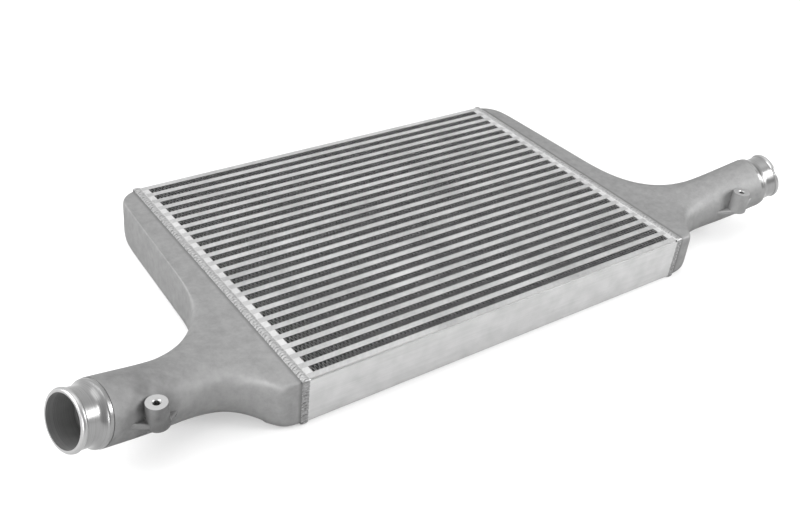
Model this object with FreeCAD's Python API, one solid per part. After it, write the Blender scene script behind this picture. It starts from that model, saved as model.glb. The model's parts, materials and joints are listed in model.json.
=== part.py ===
"""Front-mounted bar-and-plate intercooler with two cast end tanks.

The core lies flat, as it rests on a bench: X runs along the charge air from tank to tank,
Y runs across the stacked layers from the front plate (-Y) to the rear plate (+Y), and Z is up,
which is the way that the outside air crosses the core.  The origin is at the middle of the
core, on the surface that the weld beads rest on.  All sizes are in millimetres.
"""

import FreeCAD, Part
import math
import os

Vector = FreeCAD.Vector

# Core
fin_length = 510.0
core_height = 55.0
ambient_layers = 24
ambient_gap = 9.2
charge_gap = 6.0
sheet_thickness = 0.6
side_plate_thickness = 1.2
side_plate_setback = 2.0
end_bar_width = 12.0
charge_bar_height = 5.0

# Outside-air fins, drawn with fewer waves than the real strip has
ambient_fin_waves = 15
ambient_fin_thickness = 1.0
ambient_fin_recess = 0.8

# Turbulators in the charge-air passages
turbulator_waves = 4
turbulator_thickness = 0.6
turbulator_end_gap = 3.0

# Weld beads between core and tanks
bead_width = 9.6
bead_crown = 1.5

# Cast end tank, seen from above
tank_wall = 4.0
tank_depth_rear = 26.5
tank_wall_slant = 0.045
tank_depth_front = 25.0
front_sweep_angle = 53.0
rear_corner_radius = 25.0
front_corner_radius = 14.0
valley_wall_run = 90.0
valley_tube_run = 80.0
front_sweep_run = 42.0
front_tube_run = 42.0
rim_edge_radius = 3.0
top_edge_radius = 9.0
bottom_edge_radius = 13.0

# Turned hose end: the seat carries the hose, and the rest is measured from it
hose_seat_radius = 28.5
hose_seat_length = 12.0
hose_end_wall = 2.5
lip_wall = 1.4
hose_bead_height = 1.6
hose_bead_width = 6.0
hose_bead_rise = 2.4
land_step = 3.9
land_length = 3.6
shoulder_hollow_radius = 9.0
shoulder_round_radius = 2.0
counterbore_depth = 1.0

# Cast outlet tube: its mouth lies this far out from the core's end and back from the core's front
# face, its underside there this far above the core's lower face, and it starts to rise this far
# out from the core's end
tube_reach = 219.0
tube_setback = 44.2
tube_clearance = 36.0
tube_lean = 13.0
tube_rise = 16.5
rise_start = 12.5
casting_step = 0.6
duct_step = 0.5

# Bracket boss cast on the front of the tube: back from the mouth, clear of the tube's side and
# up from the tube's axis.  A rib along the tube's side braces its foot both ways.
boss_back = 77.5
boss_stand_off = 5.4
boss_lift = 27.2
boss_radius = 10.4
boss_depth = 27.5
boss_draft = 1.5
boss_foot_round = 2.0
boss_web_width = 13.2
boss_web_drop = 10.4
boss_rib_reach = 28.5
boss_rib_thickness = 6.0
boss_rib_root = 6.0
boss_rib_sink = 1.0
boss_rib_round = 1.8
boss_hole_radius = 3.4
boss_countersink = 1.0
boss_hole_depth = 18.0

# Worked-out sizes
core_base = bead_crown
core_top = core_base + core_height
core_end = fin_length / 2 + end_bar_width
layer_pitch = ambient_gap + charge_gap + 2 * sheet_thickness
charge_layers = ambient_layers + 1
half_depth = (
    ambient_layers * layer_pitch + charge_gap + 2 * sheet_thickness
) / 2 + side_plate_thickness
core_middle = core_base + core_height / 2
hose_end_bore_radius = hose_seat_radius - hose_end_wall
hose_bead_radius = hose_seat_radius + hose_bead_height
lip_radius = hose_end_bore_radius + lip_wall
land_radius = hose_seat_radius + land_step
tube_radius = land_radius + casting_step
duct_radius = hose_end_bore_radius - duct_step
shoulder_radii = shoulder_hollow_radius + shoulder_round_radius
shoulder_angle = math.acos(1 - land_step / shoulder_radii)
shoulder_length = shoulder_radii * math.sin(shoulder_angle)
hose_end_length = land_length + shoulder_length + hose_seat_length + hose_bead_width


def box(x_range, y_range, z_range):
    """A block between two limits on each axis."""
    size = [limits[1] - limits[0] for limits in (x_range, y_range, z_range)]
    return Part.makeBox(*size, Vector(x_range[0], y_range[0], z_range[0]))


def save(name, shape):
    """Writes one sub-part to its own file."""
    shape.exportStep("parts/" + name + ".step")


def mirrored(shape):
    """The same piece on the other side of the core."""
    return shape.mirror(Vector(0, 0, 0), Vector(1, 0, 0))


# Layers of the core


def charge_layer_start(index):
    """Y of the front side of a charge-air passage, counted from the front plate."""
    return -half_depth + side_plate_thickness + sheet_thickness + index * layer_pitch


def ambient_layer_start(index):
    """Y of the front side of an outside-air layer."""
    return charge_layer_start(index) + charge_gap + sheet_thickness


def parting_sheets():
    """The braze sheets on both sides of every charge-air passage."""
    sheets = []
    for index in range(charge_layers):
        front = charge_layer_start(index)
        for start in (front - sheet_thickness, front + charge_gap):
            sheets.append(
                box(
                    (-core_end, core_end),
                    (start, start + sheet_thickness),
                    (core_base, core_top),
                )
            )
    return Part.makeCompound(sheets)


def charge_bars(low, high):
    """The long bars that close the charge-air passages along one face of the core."""
    bars = []
    for index in range(charge_layers):
        front = charge_layer_start(index)
        bars.append(box((-core_end, core_end), (front, front + charge_gap), (low, high)))
    return Part.makeCompound(bars)


def end_bars():
    """The short bars that close the outside-air layers at one end of the core."""
    bars = []
    for index in range(ambient_layers):
        front = ambient_layer_start(index)
        bars.append(
            box(
                (fin_length / 2, core_end),
                (front, front + ambient_gap),
                (core_base, core_top),
            )
        )
    return Part.makeCompound(bars)


def wave_outline(length, height, thickness, waves):
    """Closed outline of a folded strip: pairs of (along, across), from the origin."""
    step = length / (2 * waves)
    crests = [(index * step, height - thickness if index % 2 else 0.0) for index in range(2 * waves + 1)]
    upper = [(along, across + thickness) for along, across in crests]
    return crests + upper[::-1]


def folded_strip(points, sweep):
    """A strip pressed into waves, from its outline's corners and the way that it is pushed."""
    outline = Part.makePolygon(points + [points[0]])
    return Part.Face(outline).extrude(sweep)


def ambient_fin(index):
    """One folded fin strip; the outside air passes between its waves along Z."""
    front = ambient_layer_start(index)
    base = core_base + ambient_fin_recess
    outline = wave_outline(fin_length, ambient_gap, ambient_fin_thickness, ambient_fin_waves)
    points = [Vector(along - fin_length / 2, front + across, base) for along, across in outline]
    return folded_strip(points, Vector(0, 0, core_height - 2 * ambient_fin_recess))


def turbulators():
    """The folded strips in the charge-air passages, with their channels along X."""
    strips = []
    width = core_height - 2 * charge_bar_height
    start_x = -core_end + turbulator_end_gap
    outline = wave_outline(width, charge_gap, turbulator_thickness, turbulator_waves)
    for index in range(charge_layers):
        front = charge_layer_start(index)
        base = core_base + charge_bar_height
        points = [Vector(start_x, front + across, base + along) for along, across in outline]
        strips.append(folded_strip(points, Vector(-2 * start_x, 0, 0)))
    return Part.makeCompound(strips)


def side_plate(front):
    """One side plate, a little lower than the core so that its braze line shows."""
    start = -half_depth if front else half_depth - side_plate_thickness
    return box(
        (-core_end, core_end),
        (start, start + side_plate_thickness),
        (core_base + side_plate_setback, core_top - side_plate_setback),
    )


# Weld beads


def bead_profile(middle, across, out):
    """Lens-shaped section of a bead: flat on the metal and crowned on the outside."""
    half = across * (bead_width / 2)
    arc = Part.Arc(middle - half, middle + out * bead_crown, middle + half)
    return Part.Face(Part.Wire([arc.toShape(), Part.makeLine(middle + half, middle - half)]))


def weld_run(middle, out, sweep):
    """One straight run of bead over the joint between core and tank."""
    return bead_profile(middle, Vector(1, 0, 0), out).extrude(sweep)


def weld_runs():
    """The four runs round one end of the core, by the side that they lie on."""
    across = Vector(0, 2 * half_depth, 0)
    upward = Vector(0, 0, core_height)
    return {
        "top": weld_run(Vector(core_end, -half_depth, core_top), Vector(0, 0, 1), across),
        "bottom": weld_run(Vector(core_end, -half_depth, core_base), Vector(0, 0, -1), across),
        "front": weld_run(Vector(core_end, -half_depth, core_base), Vector(0, -1, 0), upward),
        "rear": weld_run(Vector(core_end, half_depth, core_base), Vector(0, 1, 0), upward),
    }


# Cast end tank: the tube's axis

lean = math.radians(tube_lean)
rise = math.radians(tube_rise)
plan_heading = Vector(math.cos(lean), -math.sin(lean), 0)
plan_side = Vector(math.sin(lean), math.cos(lean), 0)
tube_axis = plan_heading * math.cos(rise) + Vector(0, 0, math.sin(rise))
tube_top_side = Vector(0, 0, math.cos(rise)) - plan_heading * math.sin(rise)
tube_end = Vector(
    core_end + tube_reach,
    tube_setback - half_depth,
    core_base + tube_clearance + tube_radius,
)
tube_seam = tube_end - tube_axis * hose_end_length


# The axis is level in the tank, bends up over this length of X and then runs straight to the mouth
level_end = core_end + rise_start
end_slope = tube_axis.z / tube_axis.x
bend_length = 2 * (tube_end.x - level_end - (tube_end.z - core_middle) / end_slope)


def axis_height(x):
    """Height of the tube's axis and its slope along X."""
    run = x - level_end
    if run <= 0:
        return core_middle, 0.0
    if run < bend_length:
        return core_middle + end_slope * run * run / (2 * bend_length), end_slope * run / bend_length
    return core_middle + end_slope * (run - bend_length / 2), end_slope


# Cast end tank: guides seen from above, in five stretches with this many steps each: the end
# face, the outer corner, the wall, the hollow before the tube, and the tube's side

end_steps, corner_steps, wall_steps, hollow_steps, tube_steps = (2, 3, 6, 6, 6)
stretch_steps = (end_steps, corner_steps, wall_steps, hollow_steps, tube_steps)
wall_row = end_steps + corner_steps
hollow_row = wall_row + wall_steps
last_row = hollow_row + hollow_steps + tube_steps


def flat(point):
    """The point seen from above."""
    return Vector(point.x, point.y, 0)


def crossing(first, first_way, second, second_way):
    """Where two lines in the plan meet."""
    turn = first_way.x * second_way.y - first_way.y * second_way.x
    gap = second - first
    reach = (gap.x * second_way.y - gap.y * second_way.x) / turn
    return first + first_way * reach


def straight_run(start, stop):
    """A function from 0..1 to the points between two points."""

    def point(part):
        return start + (stop - start) * part

    return point


def guide(corners, radius, hollow_runs):
    """The points along a path of straight and curved stretches, a set number on each."""
    first, second, third, last = corners
    outer_arc = corner_arc(first, second, third, radius)
    hollow_arc = hollow_curve(second, third, last, hollow_runs)
    runs = [
        straight_run(first, outer_arc(0)),
        outer_arc,
        straight_run(outer_arc(1), hollow_arc(0)),
        hollow_arc,
        straight_run(hollow_arc(1), last),
    ]
    points = [first]
    for run, steps in zip(runs, stretch_steps):
        points += [run((step + 1) / steps) for step in range(steps)]
    return points


def corner_arc(before, corner, after, radius):
    """A function from 0..1 to the points of the arc that rounds one corner of a path."""
    back = (before - corner).normalize()
    ahead = (after - corner).normalize()
    half_angle = back.getAngle(ahead) / 2
    start = corner + back * (radius / math.tan(half_angle))
    centre = corner + (back + ahead).normalize() * (radius / math.sin(half_angle))
    turn = math.pi - 2 * half_angle
    spoke = start - centre
    tangent = back * (-radius)

    def point(part):
        return centre + spoke * math.cos(turn * part) + tangent * math.sin(turn * part)

    return point


def hollow_curve(before, corner, after, runs):
    """A function from 0..1 to the points of the curve that eases one corner of a path.

    It leaves the path one run before the corner and joins it the other run after, so it turns
    most sharply beside the shorter run.
    """
    start = corner + (before - corner).normalize() * runs[0]
    stop = corner + (after - corner).normalize() * runs[1]

    def point(part):
        rest = 1 - part
        return start * (rest * rest) + corner * (2 * rest * part) + stop * (part * part)

    return point


def widened(runs, inset, first_way, second_way):
    """The runs of a hollow curve moved into the metal by the inset, side by side with the first."""
    growth = inset * math.tan(first_way.getAngle(second_way) / 2)
    return [run + growth for run in runs]


def rear_guide(inset, radius):
    """Rear edge of the tank in plan: end face, outer wall, valley and the tube's rear side."""
    wall_way = Vector(tank_wall_slant, -1, 0).normalize()
    wall_out = Vector(-wall_way.y, wall_way.x, 0)
    start = Vector(core_end, half_depth - inset, 0)
    wall_start = Vector(core_end + tank_depth_rear, half_depth, 0) - wall_out * inset
    corner = crossing(start, Vector(1, 0, 0), wall_start, wall_way)
    seam = flat(tube_seam) + plan_side * radius
    valley = crossing(wall_start, wall_way, seam, plan_heading)
    runs = widened((valley_wall_run, valley_tube_run), inset, wall_way, plan_heading)
    return guide((start, corner, valley, seam), rear_corner_radius - inset, runs)


def front_guide(inset, radius):
    """Front edge of the tank in plan: end face, corner, hollow sweep and the tube's front side."""
    angle = math.radians(front_sweep_angle)
    sweep_way = Vector(math.cos(angle), math.sin(angle), 0)
    sweep_out = Vector(sweep_way.y, -sweep_way.x, 0)
    start = Vector(core_end, -half_depth + inset, 0)
    sweep_start = Vector(core_end + tank_depth_front, -half_depth, 0) - sweep_out * inset
    corner = crossing(start, Vector(1, 0, 0), sweep_start, sweep_way)
    seam = flat(tube_seam) - plan_side * radius
    hollow = crossing(sweep_start, sweep_way, seam, plan_heading)
    runs = widened((front_sweep_run, front_tube_run), inset, sweep_way, plan_heading)
    return guide((start, corner, hollow, seam), front_corner_radius - inset, runs)


def smooth_step(value, low, high):
    """0 below low, 1 above high, and an even blend between them."""
    part = min(max((value - low) / (high - low), 0.0), 1.0)
    return part * part * (3 - 2 * part)


# Poles round one section, from its rear side over the top to the front and back underneath.
# A closed cubic curve runs inside its poles: these gains put it on the circle or corner meant.
ring_size = 20
quarter = ring_size // 4
circle_gain = 3 / (2 + math.cos(2 * math.pi / ring_size))
corner_gain = 1.76
least_corner_radius = 1.0


def box_ring(half_width, half_height, radii):
    """Poles of a rounded rectangle; the radii are rear top, front top, front bottom, rear bottom."""
    rear_top, front_top, front_bottom, rear_bottom = [corner_gain * radius for radius in radii]
    w, h = half_width, half_height
    ring = [(w, (rear_bottom - rear_top) / 2)]
    ring += [(w, h - rear_top), (w, h), (w - rear_top, h)]
    ring += [(w / 2, h), (0, h), (-w / 2, h)]
    ring += [(front_top - w, h), (-w, h), (-w, h - front_top)]
    ring += [(-w, (front_bottom - front_top) / 2)]
    ring += [(-w, front_bottom - h), (-w, -h), (front_bottom - w, -h)]
    ring += [(-w / 2, -h), (0, -h), (w / 2, -h)]
    ring += [(w - rear_bottom, -h), (w, -h), (w, rear_bottom - h)]
    return ring


def round_ring(half_width, half_height):
    """Poles of a flat ring with half-round ends, which is a circle when it is as wide as high."""
    straight = half_width - half_height
    ring = []
    for index in range(ring_size):
        angle = 2 * math.pi * index / ring_size
        from_rear = min(index, ring_size - index)
        shift = min(max((quarter - from_rear) / 2, -1.0), 1.0)
        side = straight * shift + half_height * circle_gain * math.cos(angle)
        ring.append((side, half_height * circle_gain * math.sin(angle)))
    return ring


# The rows between which each side of the section turns from flat to round: the top last, the
# front underside soonest and the rear underside all along the wall
top_round_rows = (hollow_row - 1, hollow_row + hollow_steps + 1)
front_round_rows = (hollow_row - 2, hollow_row + hollow_steps - 2)
rear_round_rows = (wall_row - 1, hollow_row + hollow_steps - 2)
healing_tolerance = 0.01
least_gap = 0.001


def tank_rings(inset, radius):
    """The rings of poles that shape one skin of the tank, from its rim to the turned end."""
    rear = rear_guide(inset, radius)
    front = front_guide(inset, radius)
    rings = []
    for row, (rear_point, front_point) in enumerate(zip(rear, front)):
        middle = (rear_point + front_point) / 2
        half = (rear_point - front_point) / 2
        height, slope = axis_height(middle.x)
        tilt = math.atan(slope * plan_heading.x)
        up = Vector(0, 0, math.cos(tilt)) - plan_heading * math.sin(tilt)
        top_round = smooth_step(row, *top_round_rows)
        front_round = smooth_step(row, *front_round_rows)
        rear_round = smooth_step(row, *rear_round_rows)
        rounding = [top_round] * (2 * quarter) + [front_round] * quarter + [rear_round] * quarter
        spread = smooth_step(row, hollow_row, last_row)
        half_height = (core_height / 2 - inset) * (1 - spread) + radius * spread
        swell = smooth_step(row, 0, wall_row)
        top = rim_edge_radius + (top_edge_radius - rim_edge_radius) * swell
        bottom = rim_edge_radius + (bottom_edge_radius - rim_edge_radius) * swell
        radii = [max(edge - inset, least_corner_radius) for edge in (top, top, bottom, bottom)]
        squares = box_ring(half.Length, half_height, radii)
        rounds = round_ring(half.Length, half_height)
        across = Vector(half).normalize()
        ring = []
        for square, circle, part in zip(squares, rounds, rounding):
            side = square[0] * (1 - part) + circle[0] * part
            lift = square[1] * (1 - part) + circle[1] * part
            ring.append(middle + Vector(0, 0, height) + across * side + up * lift)
        rings.append(ring)
    return rings


def skin_solid(rings):
    """A solid bounded by one smooth skin over the rings and a flat cap at each end."""
    rows = len(rings)
    degree = 3
    row_knots = list(range(rows - degree + 1))
    row_mults = [degree + 1] + [1] * (len(row_knots) - 2) + [degree + 1]
    ring_knots = list(range(ring_size + 1))
    ring_mults = [1] * (ring_size + 1)
    skin = Part.BSplineSurface()
    skin.buildFromPolesMultsKnots(
        rings, row_mults, ring_mults, row_knots, ring_knots, False, True, degree, degree
    )
    side = skin.toShape()
    caps = []
    for row in (row_knots[0], row_knots[-1]):
        caps.append(Part.Face(Part.Wire([skin.uIso(row).toShape()])))
    solid = Part.Solid(Part.Shell([side] + caps))
    solid.fix(healing_tolerance, healing_tolerance, healing_tolerance)
    if solid.Volume < 0:
        solid.reverse()
    return solid


def turned_point(centre, radius, angle):
    """A point on an arc of the turned profile, which has radius along X and height along Z."""
    return centre + Vector(radius * math.cos(angle), 0, radius * math.sin(angle))


def hose_end():
    """The turned end: land, hollow shoulder, hose seat and the bead that keeps the hose on."""
    seat_start = land_length + shoulder_length
    seat_stop = seat_start + hose_seat_length
    land_edge = Vector(land_radius, 0, land_length)
    seat_edge = Vector(hose_seat_radius, 0, seat_start)
    bead_foot = Vector(hose_seat_radius, 0, seat_stop)
    bead_crest = Vector(hose_bead_radius, 0, seat_stop + hose_bead_rise)
    lip = Vector(lip_radius, 0, hose_end_length)
    round_centre = land_edge - Vector(shoulder_round_radius, 0, 0)
    hollow_centre = seat_edge + Vector(shoulder_hollow_radius, 0, 0)
    half_turn = shoulder_angle / 2
    round_middle = turned_point(round_centre, shoulder_round_radius, half_turn)
    round_stop = turned_point(round_centre, shoulder_round_radius, shoulder_angle)
    hollow_middle = turned_point(hollow_centre, -shoulder_hollow_radius, half_turn)
    corners = [lip, Vector(0, 0, hose_end_length), Vector(), Vector(land_radius, 0, 0), land_edge]
    outline = [Part.makeLine(first, second) for first, second in zip(corners, corners[1:])]
    outline += [
        Part.Arc(land_edge, round_middle, round_stop).toShape(),
        Part.Arc(round_stop, hollow_middle, seat_edge).toShape(),
        Part.makeLine(seat_edge, bead_foot),
        Part.Arc(bead_foot, bead_crest, lip).toShape(),
    ]
    turned = Part.Face(Part.Wire(outline)).revolve(Vector(), Vector(0, 0, 1), 360)
    return on_tube(turned)


def on_tube(shape):
    """Moves a shape that stands on the XY plane to the tube's seam, along the tube's axis."""
    placed = shape.copy()
    turn = FreeCAD.Rotation(Vector(0, 0, 1), tube_axis)
    placed.Placement = FreeCAD.Placement(tube_seam, turn).multiply(placed.Placement)
    return placed


def boss_place():
    """The middle of the boss's machined face, and the point of the tube's axis beside it."""
    x = tube_end.x - boss_back
    axis_point = Vector(x, tube_end.y + boss_back * math.tan(lean), axis_height(x)[0])
    return axis_point + Vector(0, -tube_radius - boss_stand_off, boss_lift), axis_point


def boss_post():
    """The upright post with draft and a rounded foot, and a web back to the tube."""
    face = boss_place()[0]
    base = face - Vector(0, 0, boss_depth)
    post = Part.makeCone(boss_radius + boss_draft, boss_radius, boss_depth, base)
    foot_edge = [edge for edge in post.Edges if abs(edge.BoundBox.ZMax - base.z) < least_gap]
    post = post.makeFillet(boss_foot_round, foot_edge)
    web = box(
        (face.x - boss_web_width / 2, face.x + boss_web_width / 2),
        (face.y, face.y + tube_radius),
        (base.z + boss_foot_round, face.z - boss_web_drop),
    )
    return post.fuse(web)


def boss_rib():
    """The rib along the tube's side, which rises from the tube to the post's front and back."""
    face, axis_point = boss_place()
    offset = face - axis_point
    along = offset.dot(plan_heading)
    front = -offset.dot(plan_side) + boss_radius
    edge = tube_radius - boss_rib_sink
    root = tube_radius - boss_rib_root
    corners = [
        (along - boss_rib_reach, edge),
        (along, front),
        (along + boss_rib_reach, edge),
        (along + boss_rib_reach, root),
        (along - boss_rib_reach, root),
    ]
    low_side = axis_point - tube_top_side * (boss_rib_thickness / 2)
    points = [low_side + tube_axis * run - plan_side * out for run, out in corners]
    plate = Part.Face(Part.makePolygon(points + points[:1]))
    rib = plate.extrude(tube_top_side * boss_rib_thickness)
    slants = []
    for line in rib.Edges:
        run = line.Vertexes[1].Point - line.Vertexes[0].Point
        if abs(run.dot(plan_side)) > boss_rib_root and line.Length > boss_rib_reach:
            slants.append(line)
    return rib.makeFillet(boss_rib_round, slants)


def boss():
    """The bracket boss with its rib."""
    return boss_post().fuse(boss_rib())


def boss_hole():
    """The tapped hole in the boss, at its thread's inner diameter, with a countersunk mouth."""
    face = boss_place()[0]
    base = face - Vector(0, 0, boss_hole_depth)
    mouth = face - Vector(0, 0, boss_countersink)
    drilled = Part.makeCylinder(boss_hole_radius, boss_hole_depth, base)
    wide = boss_hole_radius + boss_countersink
    return drilled.fuse(Part.makeCone(boss_hole_radius, wide, boss_countersink, mouth))


def end_tank():
    """The cast tank with its outlet tube, turned hose end and bracket boss, all one piece."""
    outer = skin_solid(tank_rings(0.0, tube_radius))
    inner = skin_solid(tank_rings(tank_wall, duct_radius))
    bore_start = Vector(0, 0, -counterbore_depth)
    bore_length = hose_end_length + 2 * counterbore_depth
    bore = on_tube(Part.makeCylinder(hose_end_bore_radius, bore_length, bore_start))
    casting = outer.fuse(boss()).fuse(hose_end())
    return casting.cut(inner).cut(bore).cut(boss_hole())


def main():
    """Builds every sub-part and writes it."""
    os.makedirs("parts", exist_ok=True)
    tank = end_tank()
    save("right_end_tank", tank)
    save("left_end_tank", mirrored(tank))
    for side, run in weld_runs().items():
        save("right_" + side + "_weld", run)
        save("left_" + side + "_weld", mirrored(run))
    save("front_side_plate", side_plate(True))
    save("rear_side_plate", side_plate(False))
    save("parting_sheets", parting_sheets())
    save("top_charge_bars", charge_bars(core_top - charge_bar_height, core_top))
    save("bottom_charge_bars", charge_bars(core_base, core_base + charge_bar_height))
    save("right_end_bars", end_bars())
    save("left_end_bars", mirrored(end_bars()))
    save("turbulators", turbulators())
    for index in range(ambient_layers):
        save("ambient_fin_%02d" % (index + 1), ambient_fin(index))


main()
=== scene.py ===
"""Looks of a front-mounted bar-and-plate intercooler with two cast end tanks.

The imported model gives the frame: every place and size of the object is read from it or from its
record.  This file dresses those pieces in their real finishes, folds the fine fin strips and lays
the rippled weld beads, and sets up a pale studio with the camera of the reference view.
Lengths are in metres, and MM turns millimetres into them.
"""

import json
import logging
import math
from dataclasses import dataclass, field
from enum import Enum, IntEnum
from typing import Any, Sequence

import bpy
from mathutils import Matrix, Vector, noise

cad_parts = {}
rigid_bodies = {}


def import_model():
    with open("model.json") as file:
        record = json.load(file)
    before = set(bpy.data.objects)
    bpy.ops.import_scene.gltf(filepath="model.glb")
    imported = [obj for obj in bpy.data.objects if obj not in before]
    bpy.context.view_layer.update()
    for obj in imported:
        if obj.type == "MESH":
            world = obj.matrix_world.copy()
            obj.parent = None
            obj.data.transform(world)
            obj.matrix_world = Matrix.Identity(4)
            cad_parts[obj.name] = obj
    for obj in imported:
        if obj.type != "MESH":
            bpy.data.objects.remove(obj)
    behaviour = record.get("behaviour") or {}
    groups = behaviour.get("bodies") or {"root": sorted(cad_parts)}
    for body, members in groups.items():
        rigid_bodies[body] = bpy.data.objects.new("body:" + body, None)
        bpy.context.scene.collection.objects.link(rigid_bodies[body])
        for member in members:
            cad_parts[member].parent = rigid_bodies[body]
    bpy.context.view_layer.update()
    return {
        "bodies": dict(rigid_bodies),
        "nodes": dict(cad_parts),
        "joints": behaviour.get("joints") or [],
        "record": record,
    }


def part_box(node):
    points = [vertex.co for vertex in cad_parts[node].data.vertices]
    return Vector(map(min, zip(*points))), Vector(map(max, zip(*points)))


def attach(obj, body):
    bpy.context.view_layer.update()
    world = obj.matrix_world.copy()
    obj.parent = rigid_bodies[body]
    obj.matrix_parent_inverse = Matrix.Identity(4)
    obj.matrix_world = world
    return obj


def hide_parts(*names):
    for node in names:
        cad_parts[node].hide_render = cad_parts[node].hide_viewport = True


MM = 0.001
BODY = "root"
SIDES = ("left", "right")
log = logging.getLogger("intercooler")


def linear(hex_colour: str) -> tuple[float, float, float, float]:
    """Turns an sRGB colour into the linear one that a shader takes.

    Args:
        hex_colour: six hex digits after a hash sign.

    Returns:
        Red, green and blue from 0 to 1, and an alpha of 1.
    """
    channels = []
    for start in (1, 3, 5):
        value = int(hex_colour[start : start + 2], 16) / 255
        channels.append(value / 12.92 if value <= 0.04045 else ((value + 0.055) / 1.055) ** 2.4)
    return (*channels, 1.0)


def add_node(
    tree: bpy.types.NodeTree,
    kind: str,
    settings: dict[str, Any] | None = None,
    links: dict[str, Any] | None = None,
) -> bpy.types.Node:
    """Adds a node with its settings and links.

    Args:
        tree: the node tree that gets it.
        kind: Blender's name for the type of node.
        settings: values by name, of the node itself or of its input sockets.
        links: output sockets by the name or number of the input that each one feeds.

    Returns:
        The new node.
    """
    node = tree.nodes.new(kind)
    for name, value in (settings or {}).items():
        if isinstance(name, int):
            node.inputs[name].default_value = value
        elif hasattr(node, name):
            setattr(node, name, value)
        else:
            node.inputs[name].default_value = value
    for name, socket in (links or {}).items():
        tree.links.new(socket, node.inputs[name])
    return node


def new_material(name: str) -> tuple[bpy.types.Material, bpy.types.NodeTree]:
    """Makes an empty node material.

    Args:
        name: the material's name.

    Returns:
        The material and its cleared node tree.
    """
    material = bpy.data.materials.new(name)
    material.use_nodes = True
    tree = material.node_tree
    tree.nodes.clear()
    return material, tree


def make_mesh(
    name: str, points: Sequence[Vector], faces: Sequence[Sequence[int]], smooth: bool
) -> bpy.types.Object:
    """Makes a mesh object in the scene, with its place in its vertices.

    Args:
        name: the object's name.
        points: the vertices.
        faces: corners of each face, as numbers into the points.
        smooth: whether its faces are shaded smooth.

    Returns:
        The new object.
    """
    mesh = bpy.data.meshes.new(name)
    mesh.from_pydata([tuple(point) for point in points], [], [tuple(face) for face in faces])
    mesh.polygons.foreach_set("use_smooth", [smooth] * len(mesh.polygons))
    mesh.update()
    made = bpy.data.objects.new(name, mesh)
    bpy.context.scene.collection.objects.link(made)
    return made


class Grain(Enum):
    """The way that a wrought surface's fine lines run, as a turn about Z and a stretch."""

    ALONG_X = (0.0, (0.02, 1.0, 1.0))
    SKEWED = (math.radians(50), (0.3, 1.0, 1.0))


class TankFace(IntEnum):
    """The kinds of face that a finished tank has, in the order of its materials."""

    CAST = 0
    TURNED = 1
    FACED = 2
    INSIDE = 3
    BORED = 4
    BEAD = 5


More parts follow.
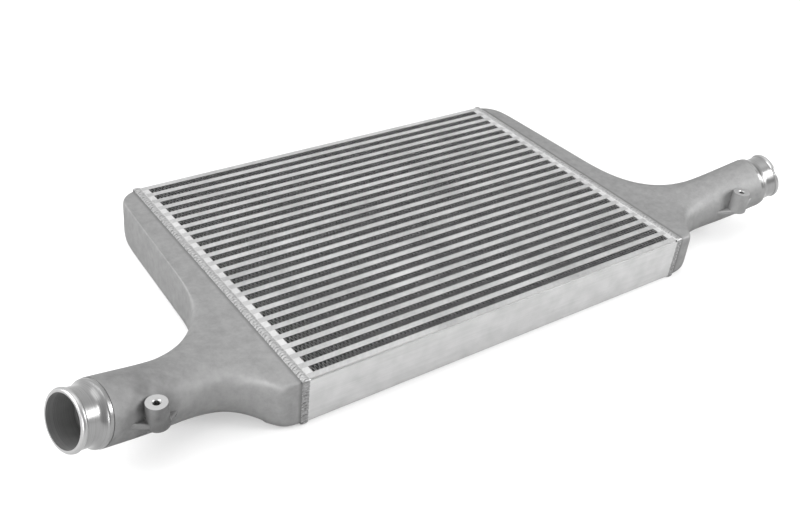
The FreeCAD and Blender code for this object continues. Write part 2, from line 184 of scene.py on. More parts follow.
@dataclass(frozen=True)
class CastAluminium:
    """Sand-cast aluminium, bead blasted all over, which leaves a dull even grey with soft clouds."""

    name: str = "cast_aluminium_bead_blasted"
    colour_dark: str = "#8C8C8C"
    colour_light: str = "#9E9E9E"
    # The colour of the painted shade in the band beside the weld
    colour_weld_shade: str = "#6E6E6E"
    # A blasted face scatters little at a glance, so its turned-away flanks look darker
    colour_glance: str = "#626262"
    roughness: float = 0.66
    # The blast's dimples are about 0.4 mm, too fine to show, so they are drawn at 1.6 mm
    grit: float = 1.6 * MM
    grit_depth: float = 0.03 * MM
    cloud: float = 10.0 * MM
    # Width and strength of the painted shade beside the weld
    weld_shade_width: float = 4.0 * MM
    weld_shade_share: float = 0.8
    # Painted shade: the skin is darkened in patches round the boss's foot and low on the tube's flank,
    # where shade falls
    colour_boss_shade: str = "#4C4C4C"
    boss_shade_share: float = 0.8
    boss_shade_reach: float = 75.0 * MM
    boss_shade_patch: float = 22.0 * MM

    def material(self, weld_edge: float, boss_shaded: Vector | None = None) -> bpy.types.Material:
        """Builds the finish.

        Args:
            weld_edge: distance from the middle of the core to the far edge of the weld.
            boss_shaded: the place round which shade is painted, if it is.

        Returns:
            The material.
        """
        material, tree = new_material(self.name + ("" if boss_shaded is None else "_smudged"))
        place = add_node(tree, "ShaderNodeTexCoord").outputs["Object"]
        clouds = add_node(
            tree,
            "ShaderNodeTexNoise",
            {"Scale": 1 / self.cloud, "Detail": 7.0, "Roughness": 0.68},
            {"Vector": place},
        )
        share = add_node(
            tree, "ShaderNodeMapRange", {1: 0.3, 2: 0.7}, {0: clouds.outputs["Fac"]}
        )
        clean = add_node(
            tree,
            "ShaderNodeMix",
            {"data_type": "RGBA", 6: linear(self.colour_dark), 7: linear(self.colour_light)},
            {0: share.outputs[0]},
        )
        # Painted shade: a dark band on the casting beside the weld, where the bead's shadow falls
        parts = add_node(tree, "ShaderNodeSeparateXYZ", {}, {0: place})
        from_middle = add_node(tree, "ShaderNodeMath", {"operation": "ABSOLUTE"}, {0: parts.outputs[0]})
        weld_shade = add_node(
            tree,
            "ShaderNodeMapRange",
            {1: weld_edge, 2: weld_edge + self.weld_shade_width, 3: self.weld_shade_share, 4: 0.0},
            {0: from_middle.outputs[0]},
        )
        colour = add_node(
            tree,
            "ShaderNodeMix",
            {"data_type": "RGBA", 7: linear(self.colour_weld_shade)},
            {0: weld_shade.outputs[0], 6: clean.outputs[2]},
        )
        # Painted shade round the boss's foot and on the tube's low flank
        if boss_shaded is not None:
            colour = self.paint_boss_shade(tree, place, colour.outputs[2], boss_shaded)
        grit = add_node(
            tree,
            "ShaderNodeTexNoise",
            {"Scale": 1 / self.grit, "Detail": 2.0},
            {"Vector": place},
        )
        bump = add_node(
            tree,
            "ShaderNodeBump",
            {"Strength": 0.6, "Distance": self.grit_depth},
            {"Height": grit.outputs["Fac"]},
        )
        rough = add_node(
            tree,
            "ShaderNodeMapRange",
            {3: self.roughness - 0.05, 4: self.roughness + 0.07},
            {0: clouds.outputs["Fac"]},
        )
        shader = add_node(
            tree,
            "ShaderNodeBsdfPrincipled",
            {
                "distribution": "GGX",
                "Metallic": 1.0,
                "Specular Tint": linear(self.colour_glance),
            },
            {
                "Base Color": colour.outputs[2],
                "Roughness": rough.outputs[0],
                "Normal": bump.outputs["Normal"],
            },
        )
        add_node(tree, "ShaderNodeOutputMaterial", {}, {"Surface": shader.outputs["BSDF"]})
        return material

    def paint_boss_shade(
        self,
        tree: bpy.types.NodeTree,
        place: bpy.types.NodeSocket,
        clean: bpy.types.NodeSocket,
        middle: Vector,
    ) -> bpy.types.Node:
        """Paints shade on the skin in patches that fade out away from one place.

        Args:
            tree: the finish's node tree.
            place: the socket that gives the place on the object.
            clean: the socket that gives the skin's colour without the painted shade.
            middle: the place round which shade is painted.

        Returns:
            The node whose output 2 is the colour with the painted shade.
        """
        distance = add_node(
            tree, "ShaderNodeVectorMath", {"operation": "DISTANCE", 1: middle}, {0: place}
        )
        near = add_node(
            tree,
            "ShaderNodeMapRange",
            {"interpolation_type": "SMOOTHSTEP", 2: self.boss_shade_reach, 3: self.boss_shade_share, 4: 0.0},
            {0: distance.outputs["Value"]},
        )
        patches = add_node(
            tree,
            "ShaderNodeTexNoise",
            {"Scale": 1 / self.boss_shade_patch, "Detail": 5.0},
            {"Vector": place},
        )
        patchy = add_node(
            tree, "ShaderNodeMapRange", {1: 0.25, 2: 0.7}, {0: patches.outputs["Fac"]}
        )
        share = add_node(
            tree,
            "ShaderNodeMath",
            {"operation": "MULTIPLY"},
            {0: near.outputs[0], 1: patchy.outputs[0]},
        )
        return add_node(
            tree,
            "ShaderNodeMix",
            {"data_type": "RGBA", 7: linear(self.colour_boss_shade)},
            {0: share.outputs[0], 6: clean},
        )


@dataclass(frozen=True)
class TurnedAluminium:
    """Aluminium turned on a lathe, whose feed leaves fine rings that stretch every highlight."""

    name: str = "turned_aluminium"
    colour: str = "#9C9C9C"
    colour_ring: str = "#727272"
    roughness: float = 0.29
    # The feed marks are about 0.15 mm apart, too fine to show, so they are drawn at 0.7 mm
    feed: float = 0.7 * MM
    feed_depth: float = 0.005 * MM
    # How fast a ring fades along itself, as turns of the pattern a metre
    ring_fade: float = 12.0

    def material(self, side: str, seam: Vector, axis: Vector) -> bpy.types.Material:
        """Builds the finish for rings round one axis.

        Args:
            side: the tank that it is for.
            seam: a point on the axis.
            axis: the direction that the rings are stacked along.

        Returns:
            The material.
        """
        material, tree = new_material(self.name + "_" + side)
        place = add_node(tree, "ShaderNodeTexCoord").outputs["Object"]
        offset = add_node(
            tree, "ShaderNodeVectorMath", {"operation": "SUBTRACT", 1: seam}, {0: place}
        )
        along = add_node(
            tree,
            "ShaderNodeVectorMath",
            {"operation": "DOT_PRODUCT", 1: axis},
            {0: offset.outputs["Vector"]},
        )
        # Distance along the axis sets the ring, and a little of the place lets a ring fade round it
        feed = add_node(
            tree,
            "ShaderNodeMath",
            {"operation": "MULTIPLY", 1: 1 / self.feed},
            {0: along.outputs["Value"]},
        )
        stretched = add_node(
            tree, "ShaderNodeVectorMath", {"operation": "SCALE", "Scale": self.ring_fade}, {0: place}
        )
        ring_place = add_node(tree, "ShaderNodeCombineXYZ", {}, {0: feed.outputs[0]})
        ring_vector = add_node(
            tree,
            "ShaderNodeVectorMath",
            {"operation": "ADD"},
            {0: ring_place.outputs[0], 1: stretched.outputs["Vector"]},
        )
        rings = add_node(
            tree,
            "ShaderNodeTexNoise",
            {"Scale": 1.0, "Detail": 2.0},
            {"Vector": ring_vector.outputs["Vector"]},
        )
        colour = add_node(
            tree,
            "ShaderNodeMix",
            {"data_type": "RGBA", 6: linear(self.colour_ring), 7: linear(self.colour)},
            {0: rings.outputs["Fac"]},
        )
        bump = add_node(
            tree,
            "ShaderNodeBump",
            {"Strength": 0.7, "Distance": self.feed_depth},
            {"Height": rings.outputs["Fac"]},
        )
        rough = add_node(
            tree,
            "ShaderNodeMapRange",
            {3: self.roughness - 0.04, 4: self.roughness + 0.04},
            {0: rings.outputs["Fac"]},
        )
        shader = add_node(
            tree,
            "ShaderNodeBsdfPrincipled",
            {"Metallic": 1.0},
            {
                "Base Color": colour.outputs[2],
                "Roughness": rough.outputs[0],
                "Normal": bump.outputs["Normal"],
            },
        )
        add_node(tree, "ShaderNodeOutputMaterial", {}, {"Surface": shader.outputs["BSDF"]})
        return material


@dataclass(frozen=True)
class WroughtAluminium:
    """Extruded bar or rolled sheet after brazing: satin and a little milky, with fine long lines."""

    name: str
    colour_dark: str
    colour_light: str
    roughness: float
    grain: Grain
    # The lines are about 0.3 mm apart, too fine to show, so they are drawn at 1.5 mm or more
    line: float = 1.5 * MM
    line_depth: float = 0.01 * MM
    cloud: float = 60.0 * MM

    def material(self) -> bpy.types.Material:
        """Builds the finish.

        Returns:
            The material.
        """
        material, tree = new_material(self.name)
        place = add_node(tree, "ShaderNodeTexCoord").outputs["Object"]
        turn, stretch = self.grain.value
        drawn = add_node(
            tree,
            "ShaderNodeMapping",
            {"vector_type": "TEXTURE", "Rotation": (0, 0, turn)},
            {"Vector": place},
        )
        drawn = add_node(
            tree, "ShaderNodeVectorMath", {"operation": "MULTIPLY", 1: stretch}, {0: drawn.outputs[0]}
        )
        lines = add_node(
            tree,
            "ShaderNodeTexNoise",
            {"Scale": 1 / self.line, "Detail": 3.0},
            {"Vector": drawn.outputs["Vector"]},
        )
        clouds = add_node(
            tree,
            "ShaderNodeTexNoise",
            {"Scale": 1 / self.cloud, "Detail": 4.0},
            {"Vector": place},
        )
        both = add_node(
            tree,
            "ShaderNodeMath",
            {"operation": "MULTIPLY_ADD", 1: 0.5},
            {0: lines.outputs["Fac"], 2: clouds.outputs["Fac"]},
        )
        share = add_node(
            tree, "ShaderNodeMapRange", {1: 0.45, 2: 1.05}, {0: both.outputs[0]}
        )
        colour = add_node(
            tree,
            "ShaderNodeMix",
            {"data_type": "RGBA", 6: linear(self.colour_dark), 7: linear(self.colour_light)},
            {0: share.outputs[0]},
        )
        bump = add_node(
            tree,
            "ShaderNodeBump",
            {"Strength": 0.5, "Distance": self.line_depth},
            {"Height": lines.outputs["Fac"]},
        )
        shader = add_node(
            tree,
            "ShaderNodeBsdfPrincipled",
            {"Metallic": 1.0, "Roughness": self.roughness},
            {"Base Color": colour.outputs[2], "Normal": bump.outputs["Normal"]},
        )
        add_node(tree, "ShaderNodeOutputMaterial", {}, {"Surface": shader.outputs["BSDF"]})
        return material


@dataclass(frozen=True)
class WeldMetal:
    """TIG weld metal: bright where it flowed out over the core, dark with oxide between ripples."""

    name: str = "weld_metal"
    colour_oxide: str = "#4E4E4E"
    colour_bright: str = "#CCCCCC"
    roughness: float = 0.42
    # The fine ripples are about 0.5 mm apart, too fine to show, so they are drawn at 1.1 mm
    fine: float = 1.1 * MM
    fine_share: float = 1.1
    lean: float = 0.5
    stretch: float = 0.35
    oxide_layer: str = "oxide"

    def material(self) -> bpy.types.Material:
        """Builds the finish.

        Returns:
            The material.
        """
        material, tree = new_material(self.name)
        place = add_node(tree, "ShaderNodeTexCoord").outputs["Object"]
        # Every run lies across X, so the fine ripples are stretched along it and lean a little
        leaning = add_node(
            tree,
            "ShaderNodeMapping",
            {"Rotation": (0, 0, self.lean), "Scale": (self.stretch, 1, 1)},
            {"Vector": place},
        )
        fine = add_node(
            tree,
            "ShaderNodeTexNoise",
            {"Scale": 1 / self.fine, "Detail": 3.0},
            {"Vector": leaning.outputs[0]},
        )
        oxide = add_node(tree, "ShaderNodeAttribute", {"attribute_name": self.oxide_layer})
        uneven = add_node(
            tree,
            "ShaderNodeMath",
            {"operation": "MULTIPLY_ADD", 1: self.fine_share, 2: -self.fine_share / 2},
            {0: fine.outputs["Fac"]},
        )
        share = add_node(
            tree,
            "ShaderNodeMath",
            {"operation": "ADD", "use_clamp": True},
            {0: uneven.outputs[0], 1: oxide.outputs["Fac"]},
        )
        colour = add_node(
            tree,
            "ShaderNodeMix",
            {"data_type": "RGBA", 6: linear(self.colour_bright), 7: linear(self.colour_oxide)},
            {0: share.outputs[0]},
        )
        shader = add_node(
            tree,
            "ShaderNodeBsdfPrincipled",
            {"Metallic": 1.0, "Roughness": self.roughness},
            {"Base Color": colour.outputs[2]},
        )
        add_node(tree, "ShaderNodeOutputMaterial", {}, {"Surface": shader.outputs["BSDF"]})
        return material


@dataclass
class EndTanks:
    """The two cast tanks: blasted all over, then turned at the hose end and faced at the boss."""

    cast: CastAluminium = field(default_factory=CastAluminium)
    turned: TurnedAluminium = field(default_factory=TurnedAluminium)
    faced: TurnedAluminium = field(
        default_factory=lambda: TurnedAluminium(
            name="faced_aluminium", colour="#BEBEBE", colour_ring="#949494", roughness=0.45
        )
    )
    bored: TurnedAluminium = field(
        default_factory=lambda: TurnedAluminium(
            name="bored_aluminium", colour="#B8B8B8", colour_ring="#7C7C7C", roughness=0.62
        )
    )
    bead: TurnedAluminium = field(
        default_factory=lambda: TurnedAluminium(
            name="dressed_bead", colour="#B0B0B0", colour_ring="#8E8E8E", roughness=0.34
        )
    )
    inside: CastAluminium = field(
        default_factory=lambda: CastAluminium(
            name="cast_aluminium_inside",
            colour_dark="#8E8E8E",
            colour_light="#A6A6A6",
            roughness=0.85,
        )
    )
    edge_slack: float = 0.15 * MM
    bead_width: float = 6.0 * MM
    # The bore's wall starts a millimetre deeper in the casting than the turned end does
    counterbore: float = 1.0 * MM
    bore_lead: float = 1.2 * MM
    inside_reach: float = 80.0 * MM
    boss_reach: float = 10.8 * MM
    face_depth: float = 1.2 * MM
    face_tilt: float = 0.3
    hole_rim: float = 1.0 * MM

    def dress(self, frame: dict[str, Any]) -> None:
        """Gives each tank's faces their finishes, by where they lie on it.
        """
        mounts = {mount["name"]: mount for mount in frame["record"]["mounts"]}
        weld_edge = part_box("right_top_weld")[1].x
        inside = self.inside.material(weld_edge)
        for side in SIDES:
            mouth = mounts[side + "_duct_mouth"]
            axis = Vector(mouth["axis"]).normalized()
            bore_radius = mouth["dims"]["r_mm"] * MM
            bore_length = mouth["dims"]["length_mm"] * MM
            seam = Vector(mouth["pos_m"]) + axis * (self.counterbore - bore_length / 2)
            bead_start = bore_length - self.bead_width
            boss = mounts[side + "_boss_hole"]
            hole_radius = boss["dims"]["r_mm"] * MM
            hole_length = boss["dims"]["length_mm"] * MM
            boss_centre = Vector(boss["pos_m"])
            boss_base = boss_centre.z - hole_length / 2
            boss_face = boss_centre.z + hole_length / 2 + self.hole_rim
            # Painted shade lies low on the flank of the left tube, round the boss's foot
            boss_shaded = Vector((boss_centre.x, boss_centre.y, boss_base)) if side == "left" else None
            finishes = {
                TankFace.CAST: self.cast.material(weld_edge, boss_shaded),
                TankFace.TURNED: self.turned.material(side, seam, axis),
                TankFace.FACED: self.faced.material(side, boss_centre, Vector((0, 0, 1))),
                TankFace.INSIDE: inside,
                TankFace.BORED: self.bored.material(side, seam, axis),
                TankFace.BEAD: self.bead.material(side, seam, axis),
            }
            tank = frame["nodes"][side + "_end_tank"]
            tank.data.materials.clear()
            for kind in TankFace:
                tank.data.materials.append(finishes[kind])
            for polygon in tank.data.polygons:
                centre = polygon.center
                along = (centre - seam).dot(axis)
                out = (centre - seam - axis * along).length
                from_boss = (centre - boss_centre).to_2d().length
                at_boss = from_boss < self.boss_reach and centre.z > boss_base - self.hole_rim
                on_top = centre.z > boss_face - self.face_depth and polygon.normal.z > self.face_tilt
                if out < bore_radius + self.edge_slack and along > -self.bore_lead:
                    polygon.material_index = TankFace.BORED
                elif along > bead_start:
                    polygon.material_index = TankFace.BEAD
                elif along > -self.edge_slack:
                    polygon.material_index = TankFace.TURNED
                elif at_boss and (on_top or from_boss < hole_radius + self.hole_rim):
                    polygon.material_index = TankFace.FACED
                elif out < bore_radius and along > -self.inside_reach:
                    polygon.material_index = TankFace.INSIDE
            log.info("dressed %s", tank.name)


@dataclass
class CoreMetal:
    """The brazed core's bars, sheets and side plates."""

    bar: WroughtAluminium = field(
        default_factory=lambda: WroughtAluminium(
            "extruded_bar_satin", "#949494", "#C2C2C2", 0.4, Grain.SKEWED, line=2.4 * MM
        )
    )
    end_bar: WroughtAluminium = field(
        default_factory=lambda: WroughtAluminium(
            "extruded_bar_dressed", "#AEAEAE", "#D4D4D4", 0.4, Grain.SKEWED, line=2.4 * MM
        )
    )
    sheet: WroughtAluminium = field(
        default_factory=lambda: WroughtAluminium(
            "clad_sheet_brazed", "#9A9A9A", "#B4B4B4", 0.42, Grain.ALONG_X
        )
    )
    plate: WroughtAluminium = field(
        default_factory=lambda: WroughtAluminium(
            "rolled_plate_milky",
            "#AEAEAE",
            "#C2C2C2",
            0.5,
            Grain.ALONG_X,
            line_depth=0.002 * MM,
            cloud=20.0 * MM,
        )
    )

    def dress(self, frame: dict[str, Any]) -> None:
        """Gives the core's nodes their finishes.
        """
        bar = self.bar.material()
        end_bar = self.end_bar.material()
        sheet = self.sheet.material()
        plate = self.plate.material()
        finishes = {
            "top_charge_bars": bar,
            "bottom_charge_bars": bar,
            "left_end_bars": end_bar,
            "right_end_bars": end_bar,
            "parting_sheets": sheet,
            "turbulators": sheet,
            "front_side_plate": plate,
            "rear_side_plate": plate,
        }
        for name, material in finishes.items():
            node = frame["nodes"][name]
            node.data.materials.clear()
            node.data.materials.append(material)
            log.info("dressed %s", name)


@dataclass(frozen=True)
class FinStrip:
    """Thin aluminium strip after brazing, with a painted highlight along its cut edges and painted shade
    further in between the folds.
    """

    name: str = "folded_fin_strip"
    # Painted shade deep between the folds and a painted highlight along the cut edges
    colour_deep_shade: str = "#303033"
    colour_lip_highlight: str = "#C8C8C8"
    roughness: float = 0.5
    lit_lip: float = 0.4 * MM
    patch: float = 9.0 * MM

    def material(self, middle: float, half_height: float) -> bpy.types.Material:
        """Builds the finish.

        Args:
            middle: height of the middle of the strips.
            half_height: distance from there to their cut edges.

        Returns:
            The material.
        """
        material, tree = new_material(self.name)
        place = add_node(tree, "ShaderNodeTexCoord").outputs["Object"]
        parts = add_node(tree, "ShaderNodeSeparateXYZ", {}, {0: place})
        height = add_node(
            tree, "ShaderNodeMath", {"operation": "SUBTRACT", 1: middle}, {0: parts.outputs[2]}
        )
        reach = add_node(tree, "ShaderNodeMath", {"operation": "ABSOLUTE"}, {0: height.outputs[0]})
        patches = add_node(
            tree,
            "ShaderNodeTexNoise",
            {"Scale": 1 / self.patch, "Detail": 2.0},
            {"Vector": place},
        )
        uneven = add_node(
            tree,
            "ShaderNodeMath",
            {"operation": "MULTIPLY_ADD", 1: -self.lit_lip},
            {0: patches.outputs["Fac"], 2: reach.outputs[0]},
        )
        # Painted highlight within a lip of the cut edges, painted shade deeper down between the folds
        share = add_node(
            tree,
            "ShaderNodeMapRange",
            {1: half_height - 1.5 * self.lit_lip, 2: half_height - 0.5 * self.lit_lip},
            {0: uneven.outputs[0]},
        )
        colour = add_node(
            tree,
            "ShaderNodeMix",
            {"data_type": "RGBA", 6: linear(self.colour_deep_shade), 7: linear(self.colour_lip_highlight)},
            {0: share.outputs[0]},
        )
        shader = add_node(
            tree,
            "ShaderNodeBsdfPrincipled",
            {"Metallic": 1.0, "Roughness": self.roughness},
            {"Base Color": colour.outputs[2]},
        )
        add_node(tree, "ShaderNodeOutputMaterial", {}, {"Surface": shader.outputs["BSDF"]})
        return material


@dataclass
class FinPack:
    """The folded outside-air fins at their true pitch, one strip to a layer."""

    pitch: float = 4.6 * MM
    thickness: float = 0.22 * MM
    crest_share: float = 0.14
    finish: FinStrip = field(default_factory=FinStrip)

    def centreline(self, low: Vector, high: Vector) -> list[tuple[float, float]]:
        """Folds the strip in plan.

        Args:
            low: the layer's lowest corner.
            high: its highest corner.

        Returns:
            The corners of the folds from one end to the other, as x and y.
        """
        waves = round((high.x - low.x) / self.pitch)
        pitch = (high.x - low.x) / waves
        crest = pitch * self.crest_share
        leg = pitch / 2 - crest
        near = low.y + self.thickness / 2
        far = high.y - self.thickness / 2
        points = [(low.x, near)]
        x = low.x + crest / 2
        for _ in range(waves):
            points += [(x, near), (x + leg, far), (x + leg + crest, far), (x + 2 * leg + crest, near)]
            x += pitch
        points.append((high.x, near))
        return points

    def strip(self, name: str, low: Vector, high: Vector) -> bpy.types.Object:
        """Makes one strip as a closed ribbon of real thickness.

        Args:
            name: the piece's name.
            low: the layer's lowest corner.
            high: its highest corner.

        Returns:
            The piece.
        """
        line = self.centreline(low, high)
        last = len(line) - 1
        points = []
        for index, (x, y) in enumerate(line):
            before = line[max(index - 1, 0)]
            after = line[min(index + 1, last)]
            way = Vector((after[0] - before[0], after[1] - before[1])).normalized()
            out = Vector((-way.y, way.x)) * (self.thickness / 2)
            left_y = min(max(y + out.y, low.y), high.y)
            right_y = min(max(y - out.y, low.y), high.y)
            for z in (low.z, high.z):
                points.append(Vector((x + out.x, left_y, z)))
                points.append(Vector((x - out.x, right_y, z)))
        faces = []
        for index in range(last):
            a = 4 * index
            b = a + 4
            faces += [(a, a + 2, b + 2, b), (a + 1, b + 1, b + 3, a + 3)]
            faces += [(a, b, b + 1, a + 1), (a + 2, a + 3, b + 3, b + 2)]
        end = 4 * last
        faces += [(0, 1, 3, 2), (end, end + 2, end + 3, end + 1)]
        return make_mesh(name, points, faces, False)

    def build(self, frame: dict[str, Any]) -> None:
        """Folds a strip for every outside-air layer.
        """
        low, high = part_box("ambient_fin_01")
        material = self.finish.material((high.z + low.z) / 2, (high.z - low.z) / 2)
        for node in sorted(name for name in frame["nodes"] if name.startswith("ambient_fin_")):
            low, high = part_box(node)
            piece = self.strip("folded_fin_" + node[-2:], low, high)
            piece.data.materials.append(material)
            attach(piece, BODY)
            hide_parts(node)
            log.info("folded %s", piece.name)


@dataclass
class WeldBeads:
    """The weld runs round both ends of the core, laid as a row of overlapping ripples."""

    ripple: float = 4.3 * MM
    ripple_share: float = 0.55
    # A ripple climbs fast to its full height and falls off at its end
    climb: float = 0.6
    fall: float = 6.0
    # Where two ripples meet is a nick, deeper towards the tank, and black with oxide
    nick_share: float = 0.3
    nick_place: float = 0.04
    nick_width: float = 0.11
    nick_usual: float = 0.55
    nick_spread: float = 1.3
    nick_start: float = -0.5
    nick_oxide: float = 0.45
    ripple_bow: float = 2.6 * MM
    step: float = 0.45 * MM
    across_steps: int = 12
    # The welder's hand wavers, so ripples drift, some are stronger, and the bead's edge wanders
    waver: float = 1.3 * MM
    waver_length: float = 6.0 * MM
    waver_skew: float = 0.4
    strength_length: float = 4.0 * MM
    edge_waver: float = 0.16
    edge_length: float = 2.5 * MM
    # The bead runs out flat over the core and stays rounder on the tank
    core_fall: float = 1.5
    tank_fall: float = 0.95
    clean_width: float = 0.3
    film: float = 0.5
    film_upright: float = 0.66
    # The runs' unevenness is told apart by these steps of the noise's second place
    edge_seed: float = 3.7
    side_seed: float = 11.3
    finish: WeldMetal = field(default_factory=WeldMetal)

    def surface(
        self, along: float, across: float, seed: float, film: float
    ) -> tuple[float, float]:
        """Shapes the bead's surface at one place.

        Args:
            along: distance along the run.
            across: place across the bead, from -1 on the core to 1 on the tank.
            seed: tells one run's unevenness from another's.
            film: the share of oxide that the whole run has.

        Returns:
            The height as a share of the crown, and the share of oxide there.
        """
        spot = Vector((along / self.waver_length, seed, self.waver_skew * across))
        drift = self.waver * noise.noise(spot)
        place = (along + drift + self.ripple_bow * across * across) / self.ripple
        phase = place - math.floor(place)
        ripple = phase ** self.climb * (1 - phase ** self.fall)
        from_nick = min(abs(phase - self.nick_place), 1 + self.nick_place - phase)
        nick = math.exp(-((from_nick / self.nick_width) ** 2))
        strength = noise.noise(Vector((along / self.strength_length, across, seed)))
        nick *= min(max(self.nick_usual + self.nick_spread * strength, 0.0), 1.0)
        towards_tank = max(across - self.nick_start, 0.0)
        dome = max(1 - across * across, 0.0) ** (self.tank_fall if across > 0 else self.core_fall)
        sunk = self.ripple_share * (1 - ripple) + self.nick_share * nick * towards_tank
        clean = max(-across - (1 - self.clean_width), 0.0) / self.clean_width
        oxide = film * (1 - clean) + (1 - film) * nick * min(self.nick_oxide + towards_tank, 1.0)
        return dome * max(1 - sunk, 0.0), oxide

    def run(self, node: str, out: Vector, seed: float, film: float) -> bpy.types.Object:
        """Lays one run over the box of its node.

        Args:
            node: the CAD node that it stands for.
            out: the way that the bead is crowned.
            seed: tells this run's unevenness from another's.
            film: the share of oxide that the whole run has.

        Returns:
            The piece.
        """
        low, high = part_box(node)
        middle = (low + high) / 2
        side = Vector((1, 0, 0))
        tankward = math.copysign(1, middle.x)
        along = out.cross(side)
        length = abs((high - low).dot(along))
        half = (high.x - low.x) / 2
        crown = abs((high - low).dot(out))
        foot = middle - out * (crown / 2)
        rows = round(length / self.step)
        columns = self.across_steps
        points = []
        layer = []
        for row in range(rows + 1):
            way = length * (row / rows - 0.5)
            for column in range(columns + 1):
                across = -math.cos(math.pi * column / columns)
                wander = noise.noise(Vector((way / self.edge_length, seed, across)))
                edge = 1 - self.edge_waver * abs(wander)
                height, oxide = self.surface(way + length, across * tankward, seed, film)
                lift = crown * height * edge
                points.append(foot + along * way + side * (half * across * edge) + out * lift)
                layer.append(oxide)
        wide = columns + 1
        faces = []
        for row in range(rows):
            for column in range(columns):
                a = row * wide + column
                faces.append((a, a + 1, a + wide + 1, a + wide))
        faces.append(tuple(range(columns, -1, -1)))
        faces.append(tuple(range(rows * wide, rows * wide + wide)))
        floor_edge = [row * wide for row in range(rows + 1)]
        floor_edge += [row * wide + columns for row in range(rows, -1, -1)]
        faces.append(tuple(floor_edge))
        piece = make_mesh(node.replace("_weld", "_bead"), points, faces, True)
        stored = piece.data.attributes.new(self.finish.oxide_layer, "FLOAT", "POINT")
        stored.data.foreach_set("value", layer)
        return piece

    def build(self, frame: dict[str, Any]) -> None:
        """Lays the four runs at each end of the core.
        """
        material = self.finish.material()
        outs = {
            "top": Vector((0, 0, 1)),
            "bottom": Vector((0, 0, -1)),
            "front": Vector((0, -1, 0)),
            "rear": Vector((0, 1, 0)),
        }
        for side in SIDES:
            for number, (edge, out) in enumerate(outs.items()):
                node = side + "_" + edge + "_weld"
                seed = self.edge_seed * number + (self.side_seed if side == "right" else 0.0)
                film = self.film if out.z else self.film_upright
                piece = self.run(node, out, seed, film)
                piece.data.materials.append(material)
                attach(piece, BODY)
                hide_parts(node)
                log.info("laid %s", piece.name)


@dataclass(frozen=True)
class Softbox:
    """A lamp behind a white cloth, turned to the middle of the object."""

    name: str
    place: tuple[float, float, float]
    width: float
    height: float
    power: float

    def hang(self) -> None:
        """Makes the lamp and turns it to the origin."""
        lamp = bpy.data.lights.new(self.name, "AREA")
        lamp.shape = "RECTANGLE"
        lamp.size = self.width
        lamp.size_y = self.height
        lamp.energy = self.power
        holder = bpy.data.objects.new(self.name, lamp)
        holder.location = self.place
        holder.rotation_euler = (-Vector(self.place)).to_track_quat("-Z", "Y").to_euler()
        bpy.context.scene.collection.objects.link(holder)


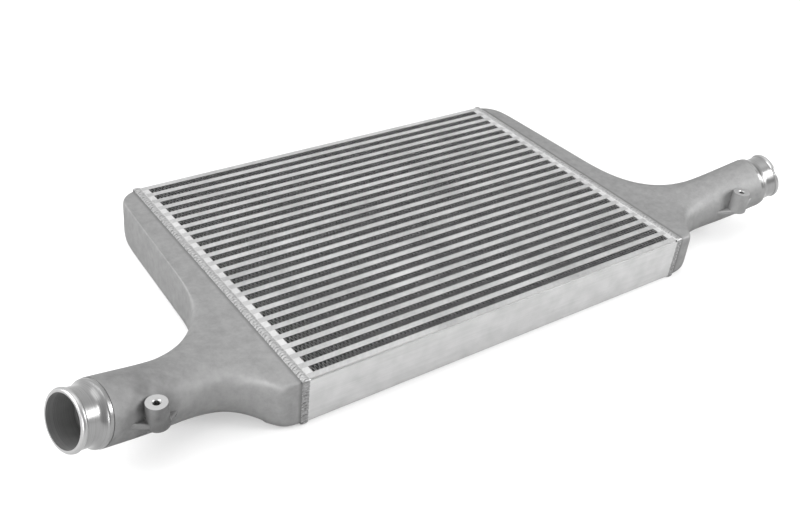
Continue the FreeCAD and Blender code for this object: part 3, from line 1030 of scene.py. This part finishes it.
@dataclass
class Studio:
    """A lit pale floor under plain soft light."""

    floor_size: float = 12.0
    floor_colour: str = "#BCBCBC"
    floor_glow: float = 0.35
    sky_colour: str = "#FFFFFF"
    sky_bright_side: Vector = field(default_factory=lambda: Vector((0.1, 0.85, 0.45)).normalized())
    sky_least: float = 0.45
    sky_most: float = 1.35
    softboxes: tuple[Softbox, ...] = (
        Softbox("overhead_softbox", (0.0, 0.4, 2.6), 2.4, 2.0, 20.0),
        Softbox("front_softbox", (0.95, -1.15, 1.0), 0.4, 0.8, 15.5),
        Softbox("right_softbox", (2.1, -1.2, 0.7), 0.9, 0.7, 15.0),
        Softbox("left_softbox", (-2.3, 0.6, 1.2), 1.5, 1.2, 70.0),
        Softbox("low_left_softbox", (-2.0, -1.5, 0.6), 0.8, 0.6, 19.0),
    )

    def floor(self) -> None:
        """Lays the floor under the lowest point of the object."""
        half = self.floor_size / 2
        signs = ((-1, -1), (1, -1), (1, 1), (-1, 1))
        corners = [Vector((x * half, y * half, 0)) for x, y in signs]
        floor = make_mesh("studio_floor", corners, [(0, 1, 2, 3)], False)
        material, tree = new_material("matt_paper")
        shader = add_node(
            tree,
            "ShaderNodeBsdfPrincipled",
            {
                "Base Color": linear(self.floor_colour),
                "Roughness": 0.9,
                "Specular IOR Level": 0.1,
                "Emission Color": linear(self.sky_colour),
                "Emission Strength": self.floor_glow,
            },
        )
        add_node(tree, "ShaderNodeOutputMaterial", {}, {"Surface": shader.outputs["BSDF"]})
        floor.data.materials.append(material)

    def light(self) -> None:
        """Hangs the softboxes and sets the sky."""
        world = bpy.data.worlds.new("studio_sky")
        bpy.context.scene.world = world
        world.use_nodes = True
        tree = world.node_tree
        tree.nodes.clear()
        way = add_node(tree, "ShaderNodeTexCoord").outputs["Generated"]
        towards = add_node(
            tree, "ShaderNodeVectorMath", {"operation": "DOT_PRODUCT", 1: self.sky_bright_side}, {0: way}
        )
        strength = add_node(
            tree,
            "ShaderNodeMapRange",
            {1: -1.0, 2: 1.0, 3: self.sky_least, 4: self.sky_most},
            {0: towards.outputs["Value"]},
        )
        sky = add_node(
            tree,
            "ShaderNodeBackground",
            {"Color": linear(self.sky_colour)},
            {"Strength": strength.outputs[0]},
        )
        add_node(tree, "ShaderNodeOutputWorld", {}, {"Surface": sky.outputs[0]})
        for softbox in self.softboxes:
            softbox.hang()

    def build(self) -> None:
        """Sets up floor, light and the plain way that colours are shown."""
        self.floor()
        self.light()
        bpy.context.scene.view_settings.view_transform = "Standard"
        log.info("set up the studio")


@dataclass
class Viewpoint:
    """The camera of the reference view, solved from the core's straight edges."""

    place: Vector = field(default_factory=lambda: Vector((-657.98, -811.83, 694.52)) * MM)
    right: Vector = field(default_factory=lambda: Vector((0.81383345, -0.57414839, 0.08960328)))
    ahead: Vector = field(default_factory=lambda: Vector((0.51618763, 0.64346174, -0.56524978)))
    focal_pixels: float = 997.82
    image_width: float = 800.0
    sensor_width: float = 36.0

    def build(self) -> None:
        """Makes the camera and hands it to the scene."""
        data = bpy.data.cameras.new("reference_camera")
        data.sensor_width = self.sensor_width
        data.lens = self.focal_pixels / self.image_width * self.sensor_width
        data.clip_start = 0.05
        data.clip_end = 40.0
        camera = bpy.data.objects.new("reference_camera", data)
        up = self.right.cross(self.ahead)
        turn = Matrix((self.right, up, -self.ahead)).transposed().to_4x4()
        camera.matrix_world = Matrix.Translation(self.place) @ turn
        bpy.context.scene.collection.objects.link(camera)
        bpy.context.scene.camera = camera
        log.info("placed the camera")


def main() -> None:
    """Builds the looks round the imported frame."""
    logging.basicConfig(level=logging.INFO, format="%(message)s")
    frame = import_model()
    Viewpoint().build()
    Studio().build()
    EndTanks().dress(frame)
    CoreMetal().dress(frame)
    FinPack().build(frame)
    WeldBeads().build(frame)


if __name__ == "__main__":
    main()
